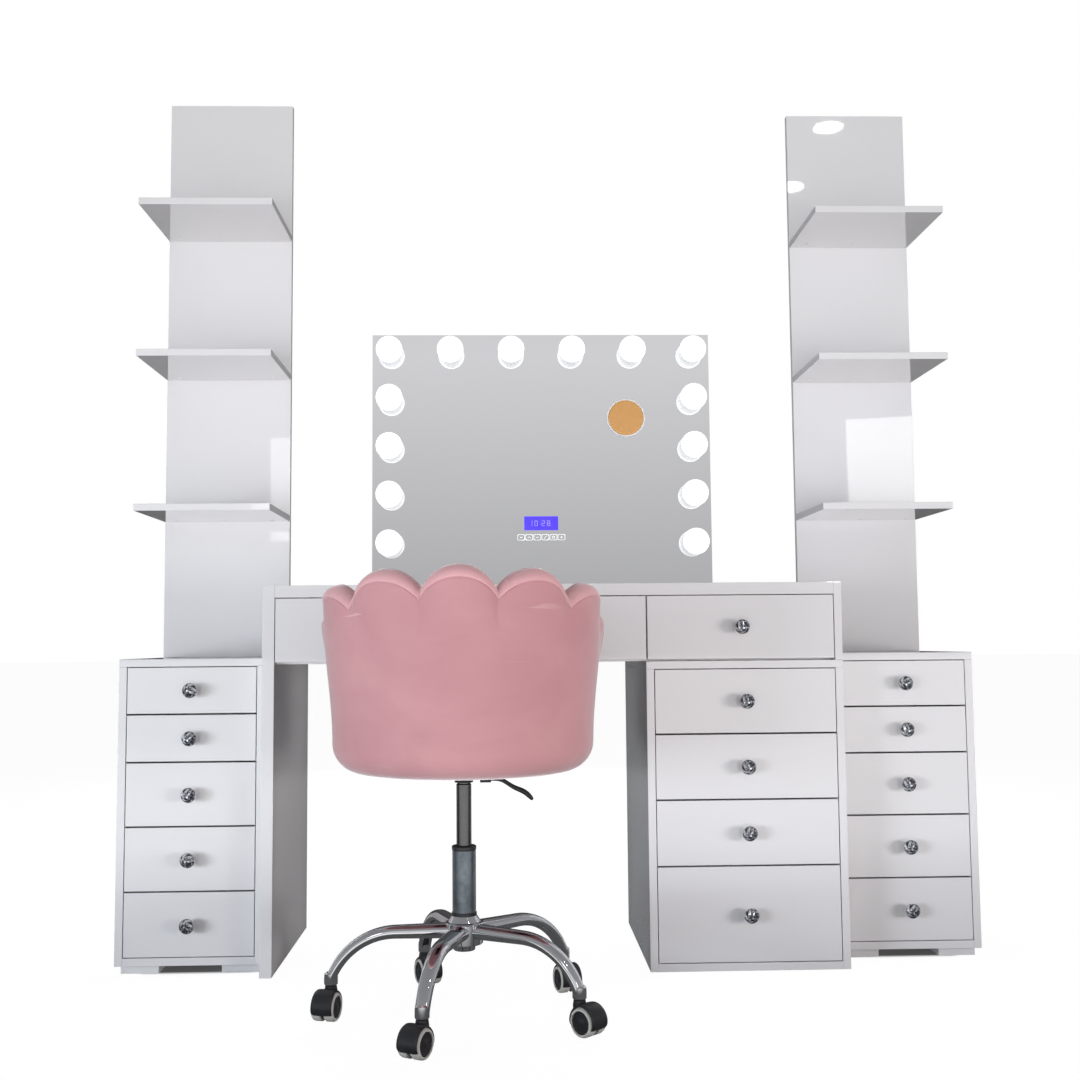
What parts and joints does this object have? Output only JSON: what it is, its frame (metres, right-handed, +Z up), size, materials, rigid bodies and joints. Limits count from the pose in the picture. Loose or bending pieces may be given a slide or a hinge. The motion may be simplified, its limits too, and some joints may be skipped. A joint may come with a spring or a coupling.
{
  "type": "salon styling station",
  "caption": "Gloss white salon vanity: drawer desk and side cabinets with crystal knobs, shelf towers, globe-bulb mirror and a scalloped velvet swivel chair",
  "frame": {"origin": "on the floor, under the middle of the whole set's bounding box", "axes": "+X to the user's right along the desk, +Y away from the user towards the wall, +Z up"},
  "size_m": [1.8, 1.0109, 1.973],
  "materials": {
    "white_lacquer": "high-gloss white lacquer on board",
    "runner_steel": "zinc-plated steel",
    "crystal": "faceted clear crystal on a polished chrome flange",
    "silvered_glass": "silvered float glass",
    "housing_paint": "white powder coat",
    "bulb_white": "opal white globe",
    "electronics": "moulded plastic and circuit board",
    "magnifier_mirror": "curved mirror in a white rim",
    "chrome": "polished chrome plate",
    "black_plastic": "fine-grained black nylon",
    "caster_wheel": "black wheel with a pale grey tread",
    "pink_velvet": "short-pile velvet over foam",
    "black_steel": "black powder coat"
  },
  "bodies": {
    "station": {"desk_carcass": "white_lacquer", "pedestal_carcass": "white_lacquer", "side_cabinet_carcasses": "white_lacquer", "drawer_rails": "runner_steel", "tower_panels": "white_lacquer", "tower_shelves": "white_lacquer", "mirror_housing": "housing_paint", "mirror_glass": "silvered_glass", "mirror_bulbs": "bulb_white", "mirror_electronics": "electronics", "magnifier": "magnifier_mirror"},
    "desk_drawer_wide_unit": {"desk_drawer_wide": "white_lacquer", "desk_drawer_wide_knob": "crystal"},
    "desk_drawer_small_unit": {"desk_drawer_small": "white_lacquer", "desk_drawer_small_knob": "crystal"},
    "pedestal_drawer_1_unit": {"pedestal_drawer_1": "white_lacquer", "pedestal_drawer_1_knob": "crystal"},
    "pedestal_drawer_2_unit": {"pedestal_drawer_2": "white_lacquer", "pedestal_drawer_2_knob": "crystal"},
    "pedestal_drawer_3_unit": {"pedestal_drawer_3": "white_lacquer", "pedestal_drawer_3_knob": "crystal"},
    "pedestal_drawer_4_unit": {"pedestal_drawer_4": "white_lacquer", "pedestal_drawer_4_knob": "crystal"},
    "left_drawer_1_unit": {"left_drawer_1": "white_lacquer", "left_drawer_1_knob": "crystal"},
    "left_drawer_2_unit": {"left_drawer_2": "white_lacquer", "left_drawer_2_knob": "crystal"},
    "left_drawer_3_unit": {"left_drawer_3": "white_lacquer", "left_drawer_3_knob": "crystal"},
    "left_drawer_4_unit": {"left_drawer_4": "white_lacquer", "left_drawer_4_knob": "crystal"},
    "left_drawer_5_unit": {"left_drawer_5": "white_lacquer", "left_drawer_5_knob": "crystal"},
    "right_drawer_1_unit": {"right_drawer_1": "white_lacquer", "right_drawer_1_knob": "crystal"},
    "right_drawer_2_unit": {"right_drawer_2": "white_lacquer", "right_drawer_2_knob": "crystal"},
    "right_drawer_3_unit": {"right_drawer_3": "white_lacquer", "right_drawer_3_knob": "crystal"},
    "right_drawer_4_unit": {"right_drawer_4": "white_lacquer", "right_drawer_4_knob": "crystal"},
    "right_drawer_5_unit": {"right_drawer_5": "white_lacquer", "right_drawer_5_knob": "crystal"},
    "chair_base": {"star_base": "chrome", "gas_column": "chrome"},
    "caster_1_fork": {"caster_1_hood": "black_plastic"},
    "caster_1_wheelset": {"caster_1_wheels": "caster_wheel"},
    "caster_2_fork": {"caster_2_hood": "black_plastic"},
    "caster_2_wheelset": {"caster_2_wheels": "caster_wheel"},
    "caster_3_fork": {"caster_3_hood": "black_plastic"},
    "caster_3_wheelset": {"caster_3_wheels": "caster_wheel"},
    "caster_4_fork": {"caster_4_hood": "black_plastic"},
    "caster_4_wheelset": {"caster_4_wheels": "caster_wheel"},
    "caster_5_fork": {"caster_5_hood": "black_plastic"},
    "caster_5_wheelset": {"caster_5_wheels": "caster_wheel"},
    "gas_lift_rod": {"gas_piston": "chrome"},
    "seat": {"seat_plate": "black_steel", "seat_shell": "pink_velvet", "seat_cushion": "pink_velvet"},
    "height_lever": {"lever": "black_plastic"}
  },
  "joints": [
    {"name": "desk_drawer_wide_slide", "type": "slide", "parent": "station", "child": "desk_drawer_wide_unit", "axis": [0, -1, 0], "range_m": [0, 0.2]},
    {"name": "desk_drawer_small_slide", "type": "slide", "parent": "station", "child": "desk_drawer_small_unit", "axis": [0, -1, 0], "range_m": [0, 0.3]},
    {"name": "pedestal_drawer_1_slide", "type": "slide", "parent": "station", "child": "pedestal_drawer_1_unit", "axis": [0, -1, 0], "range_m": [0, 0.3]},
    {"name": "pedestal_drawer_2_slide", "type": "slide", "parent": "station", "child": "pedestal_drawer_2_unit", "axis": [0, -1, 0], "range_m": [0, 0.3]},
    {"name": "pedestal_drawer_3_slide", "type": "slide", "parent": "station", "child": "pedestal_drawer_3_unit", "axis": [0, -1, 0], "range_m": [0, 0.3]},
    {"name": "pedestal_drawer_4_slide", "type": "slide", "parent": "station", "child": "pedestal_drawer_4_unit", "axis": [0, -1, 0], "range_m": [0, 0.3]},
    {"name": "left_drawer_1_slide", "type": "slide", "parent": "station", "child": "left_drawer_1_unit", "axis": [0, -1, 0], "range_m": [0, 0.25]},
    {"name": "left_drawer_2_slide", "type": "slide", "parent": "station", "child": "left_drawer_2_unit", "axis": [0, -1, 0], "range_m": [0, 0.25]},
    {"name": "left_drawer_3_slide", "type": "slide", "parent": "station", "child": "left_drawer_3_unit", "axis": [0, -1, 0], "range_m": [0, 0.25]},
    {"name": "left_drawer_4_slide", "type": "slide", "parent": "station", "child": "left_drawer_4_unit", "axis": [0, -1, 0], "range_m": [0, 0.25]},
    {"name": "left_drawer_5_slide", "type": "slide", "parent": "station", "child": "left_drawer_5_unit", "axis": [0, -1, 0], "range_m": [0, 0.25]},
    {"name": "right_drawer_1_slide", "type": "slide", "parent": "station", "child": "right_drawer_1_unit", "axis": [0, -1, 0], "range_m": [0, 0.25]},
    {"name": "right_drawer_2_slide", "type": "slide", "parent": "station", "child": "right_drawer_2_unit", "axis": [0, -1, 0], "range_m": [0, 0.25]},
    {"name": "right_drawer_3_slide", "type": "slide", "parent": "station", "child": "right_drawer_3_unit", "axis": [0, -1, 0], "range_m": [0, 0.25]},
    {"name": "right_drawer_4_slide", "type": "slide", "parent": "station", "child": "right_drawer_4_unit", "axis": [0, -1, 0], "range_m": [0, 0.25]},
    {"name": "right_drawer_5_slide", "type": "slide", "parent": "station", "child": "right_drawer_5_unit", "axis": [0, -1, 0], "range_m": [0, 0.25]},
    {"name": "chair_roll", "type": "slide", "parent": "station", "child": "chair_base", "axis": [0, -1, 0], "range_m": [0, 0.6]},
    {"name": "caster_1_swivel", "type": "hinge", "parent": "chair_base", "child": "caster_1_fork", "pos_m": [0.00752, -0.06956, 0.058], "axis": [0, 0, 1], "continuous": true},
    {"name": "caster_1_roll", "type": "hinge", "parent": "caster_1_fork", "child": "caster_1_wheelset", "pos_m": [0.01436, -0.08836, 0.025], "axis": [0.9397, 0.342, 0], "continuous": true},
    {"name": "caster_2_swivel", "type": "hinge", "parent": "chair_base", "child": "caster_2_fork", "pos_m": [-0.26501, 0.00346, 0.058], "axis": [0, 0, 1], "continuous": true},
    {"name": "caster_2_roll", "type": "hinge", "parent": "caster_2_fork", "child": "caster_2_wheelset", "pos_m": [-0.25656, -0.01467, 0.025], "axis": [0.9063, 0.4226, 0], "continuous": true},
    {"name": "caster_3_swivel", "type": "hinge", "parent": "chair_base", "child": "caster_3_fork", "pos_m": [-0.41867, -0.23316, 0.058], "axis": [0, 0, 1], "continuous": true},
    {"name": "caster_3_roll", "type": "hinge", "parent": "caster_3_fork", "child": "caster_3_wheelset", "pos_m": [-0.42385, -0.25248, 0.025], "axis": [0.9659, -0.2588, 0], "continuous": true},
    {"name": "caster_4_swivel", "type": "hinge", "parent": "chair_base", "child": "caster_4_fork", "pos_m": [-0.24112, -0.45242, 0.058], "axis": [0, 0, 1], "continuous": true},
    {"name": "caster_4_roll", "type": "hinge", "parent": "caster_4_fork", "child": "caster_4_wheelset", "pos_m": [-0.25081, -0.46991, 0.025], "axis": [0.8746, -0.4848, 0], "continuous": true},
    {"name": "caster_5_swivel", "type": "hinge", "parent": "chair_base", "child": "caster_5_fork", "pos_m": [0.02228, -0.35131, 0.058], "axis": [0, 0, 1], "continuous": true},
    {"name": "caster_5_roll", "type": "hinge", "parent": "caster_5_fork", "child": "caster_5_wheelset", "pos_m": [0.03617, -0.3657, 0.025], "axis": [0.7193, 0.6947, 0], "continuous": true},
    {"name": "gas_lift", "type": "slide", "parent": "chair_base", "child": "gas_lift_rod", "axis": [0, 0, 1], "range_m": [-0.09, 0.03]},
    {"name": "seat_swivel", "type": "hinge", "parent": "gas_lift_rod", "child": "seat", "pos_m": [-0.179, -0.2206, 0.4], "axis": [0, 0, 1], "continuous": true},
    {"name": "lever_lift", "type": "hinge", "parent": "seat", "child": "height_lever", "pos_m": [-0.137, -0.2206, 0.42], "axis": [0, -1, 0], "range_deg": [0, 8], "stiffness_Nm_per_rad": 0.5, "springref_deg": -5.73}
  ]
}
